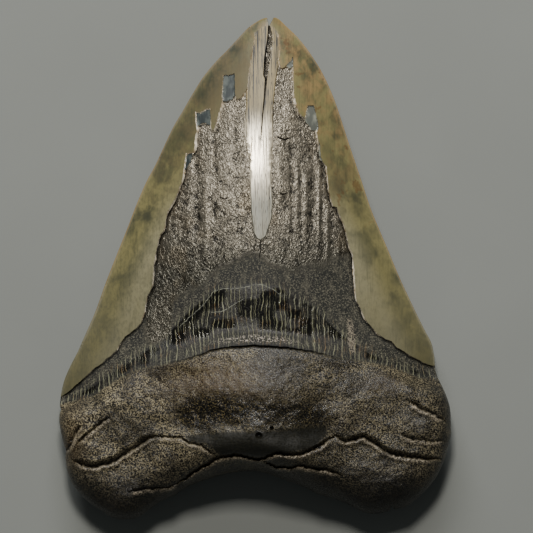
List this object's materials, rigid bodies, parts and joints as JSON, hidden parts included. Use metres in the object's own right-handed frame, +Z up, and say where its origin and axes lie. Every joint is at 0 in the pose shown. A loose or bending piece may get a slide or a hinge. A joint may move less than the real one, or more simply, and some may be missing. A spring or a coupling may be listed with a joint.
{
  "type": "fossil megalodon tooth",
  "caption": "Broad triangular fossil shark tooth with a two-lobed root, worn enamel, a split tip and a cracked root, lying flat with its rounded inner face up.",
  "frame": {"origin": "centre of the bounding box at the height of the underside, where the tooth lies on the table", "axes": "+Y from the root to the tip, +Z up out of the rounded inner face, X across the tooth"},
  "size_m": [0.1054, 0.1352, 0.0265],
  "materials": {
    "fossil": "satin"
  },
  "bodies": {
    "root": {"tooth": "fossil"}
  },
  "joints": []
}
